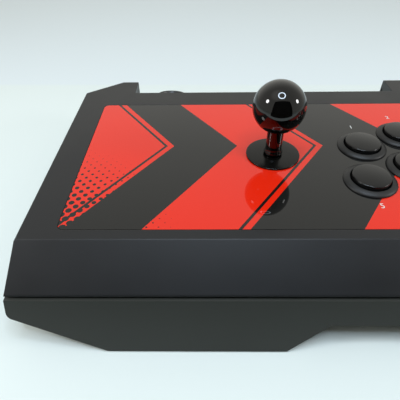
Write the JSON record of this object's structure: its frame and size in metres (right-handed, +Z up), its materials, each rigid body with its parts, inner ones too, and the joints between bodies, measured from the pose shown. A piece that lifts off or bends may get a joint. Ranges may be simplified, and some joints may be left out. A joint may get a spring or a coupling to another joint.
{
  "type": "arcade fight stick",
  "caption": "Low wide table-top game controller with a ball-top lever, round push buttons, a glossy play panel and a sloping rear panel of small controls.",
  "frame": {"origin": "under the middle of the case, on the surface that the feet stand on", "axes": "+X to the player's right along the case's width, +Y from the player to the rear, +Z up"},
  "size_m": [0.432, 0.2406, 0.1083],
  "materials": {
    "case_black": "satin, fine texture",
    "case_lower": "satin, fine texture",
    "panel_red": "clear glossy sheet printed red and charcoal on its back",
    "steel_plate": "plain sheet",
    "steel_bright": "zinc plated",
    "rubber_black": "matte",
    "ball_black": "polished",
    "washer_black": "satin",
    "button_rim": "satin",
    "button_cap": "satin",
    "switch_red": "moulded",
    "switch_black": "moulded",
    "circuit_green": "lacquered board",
    "housing_black": "moulded",
    "nylon_white": "moulded nylon",
    "ring_black": "satin gloss",
    "home_grey": "translucent smoke",
    "knob_grey": "moulded",
    "light_green": "translucent"
  },
  "bodies": {
    "case": {"upper_shell": "case_black", "control_panel": "case_black", "lower_shell": "case_lower", "play_panel": "panel_red", "base_cover": "steel_plate", "steel_plate": "steel_plate", "lever_mount": "steel_plate", "door_pin": "steel_bright", "case_screws": "steel_bright", "base_screws": "steel_bright", "plate_screws": "steel_bright", "spring_seat": "steel_bright", "lever_spring": "steel_bright", "lever_screws": "steel_bright", "rubber_feet": "rubber_black", "cable_gland": "rubber_black", "button_housing_1": "button_rim", "button_housing_2": "button_rim", "button_housing_3": "button_rim", "button_housing_4": "button_rim", "button_housing_5": "button_rim", "button_housing_6": "button_rim", "button_housing_7": "button_rim", "button_housing_8": "button_rim", "button_switches": "switch_red", "lever_switches": "switch_black", "control_switches": "switch_black", "main_board": "circuit_green", "control_board": "circuit_green", "lever_board": "circuit_green", "lever_housing": "housing_black", "restrictor_gate": "nylon_white", "home_ring": "ring_black", "indicator_lights": "light_green"},
    "pivot": {"pivot_ball": "nylon_white"},
    "lever": {"ball_top": "ball_black", "lever_shaft": "steel_bright", "shaft_cover": "ball_black", "actuator": "nylon_white", "e_clip": "steel_bright"},
    "dust_disc": {"lower_dust_disc": "washer_black"},
    "dust_washer": {"dust_washer": "washer_black"},
    "home_button": {"home_button": "home_grey"},
    "cable_door": {"cable_door": "case_lower"},
    "button_1": {"button_cap_1": "button_cap"},
    "button_2": {"button_cap_2": "button_cap"},
    "button_3": {"button_cap_3": "button_cap"},
    "button_4": {"button_cap_4": "button_cap"},
    "button_5": {"button_cap_5": "button_cap"},
    "button_6": {"button_cap_6": "button_cap"},
    "button_7": {"button_cap_7": "button_cap"},
    "button_8": {"button_cap_8": "button_cap"},
    "small_button_1": {"small_button_1": "button_cap"},
    "small_button_2": {"small_button_2": "button_cap"},
    "small_button_3": {"small_button_3": "button_cap"},
    "small_button_4": {"small_button_4": "button_cap"},
    "slide_knob_1": {"slide_knob_1": "knob_grey"},
    "slide_knob_2": {"slide_knob_2": "knob_grey"}
  },
  "joints": [
    {"name": "lever_fore_aft", "type": "hinge", "parent": "case", "child": "pivot", "pos_m": [-0.055, 0.001, 0.039], "axis": [-1, 0, 0], "range_deg": [-8, 8], "stiffness_Nm_per_rad": 0.6},
    {"name": "lever_left_right", "type": "hinge", "parent": "pivot", "child": "lever", "pos_m": [-0.055, 0.001, 0.039], "axis": [0, 1, 0], "range_deg": [-8, 8], "stiffness_Nm_per_rad": 0.6, "deforming": ["lever_spring"]},
    {"name": "dust_disc_slide", "type": "slide", "parent": "case", "child": "dust_disc", "axis": [1, 0, 0], "range_m": [-0.0022, 0.0022]},
    {"name": "dust_washer_slide", "type": "slide", "parent": "dust_disc", "child": "dust_washer", "axis": [0, 1, 0], "range_m": [-0.0022, 0.0022]},
    {"name": "button_1_press", "type": "slide", "parent": "case", "child": "button_1", "axis": [0, 0, -1], "range_m": [0, 0.0035], "stiffness_N_per_m": 250, "springref_m": -0.002},
    {"name": "button_2_press", "type": "slide", "parent": "case", "child": "button_2", "axis": [0, 0, -1], "range_m": [0, 0.0035], "stiffness_N_per_m": 250, "springref_m": -0.002},
    {"name": "button_3_press", "type": "slide", "parent": "case", "child": "button_3", "axis": [0, 0, -1], "range_m": [0, 0.0035], "stiffness_N_per_m": 250, "springref_m": -0.002},
    {"name": "button_4_press", "type": "slide", "parent": "case", "child": "button_4", "axis": [0, 0, -1], "range_m": [0, 0.0035], "stiffness_N_per_m": 250, "springref_m": -0.002},
    {"name": "button_5_press", "type": "slide", "parent": "case", "child": "button_5", "axis": [0, 0, -1], "range_m": [0, 0.0035], "stiffness_N_per_m": 250, "springref_m": -0.002},
    {"name": "button_6_press", "type": "slide", "parent": "case", "child": "button_6", "axis": [0, 0, -1], "range_m": [0, 0.0035], "stiffness_N_per_m": 250, "springref_m": -0.002},
    {"name": "button_7_press", "type": "slide", "parent": "case", "child": "button_7", "axis": [0, 0, -1], "range_m": [0, 0.0035], "stiffness_N_per_m": 250, "springref_m": -0.002},
    {"name": "button_8_press", "type": "slide", "parent": "case", "child": "button_8", "axis": [0, 0, -1], "range_m": [0, 0.0035], "stiffness_N_per_m": 250, "springref_m": -0.002},
    {"name": "home_button_press", "type": "slide", "parent": "case", "child": "home_button", "axis": [0, -0.6603, -0.751], "range_m": [0, 0.0008], "stiffness_N_per_m": 1500, "springref_m": -0.0005},
    {"name": "small_button_1_press", "type": "slide", "parent": "case", "child": "small_button_1", "axis": [0, -0.6603, -0.751], "range_m": [0, 0.0008], "stiffness_N_per_m": 1500, "springref_m": -0.0005},
    {"name": "small_button_2_press", "type": "slide", "parent": "case", "child": "small_button_2", "axis": [0, -0.6603, -0.751], "range_m": [0, 0.0008], "stiffness_N_per_m": 1500, "springref_m": -0.0005},
    {"name": "small_button_3_press", "type": "slide", "parent": "case", "child": "small_button_3", "axis": [0, -0.6603, -0.751], "range_m": [0, 0.0008], "stiffness_N_per_m": 1500, "springref_m": -0.0005},
    {"name": "small_button_4_press", "type": "slide", "parent": "case", "child": "small_button_4", "axis": [0, -0.6603, -0.751], "range_m": [0, 0.0008], "stiffness_N_per_m": 1500, "springref_m": -0.0005},
    {"name": "slide_knob_1_slide", "type": "slide", "parent": "case", "child": "slide_knob_1", "axis": [1, 0, 0], "range_m": [0, 0.004]},
    {"name": "slide_knob_2_slide", "type": "slide", "parent": "case", "child": "slide_knob_2", "axis": [1, 0, 0], "range_m": [0, 0.004]},
    {"name": "cable_door_hinge", "type": "hinge", "parent": "case", "child": "cable_door", "pos_m": [-0.0507, 0.11805, 0.0208], "axis": [1, 0, 0], "range_deg": [0, 90]}
  ],
  "couplings": [
    {"joint": "dust_disc_slide", "follows": "lever_left_right", "m_per_rad": 0.0147},
    {"joint": "dust_washer_slide", "follows": "lever_fore_aft", "m_per_rad": 0.0147}
  ]
}
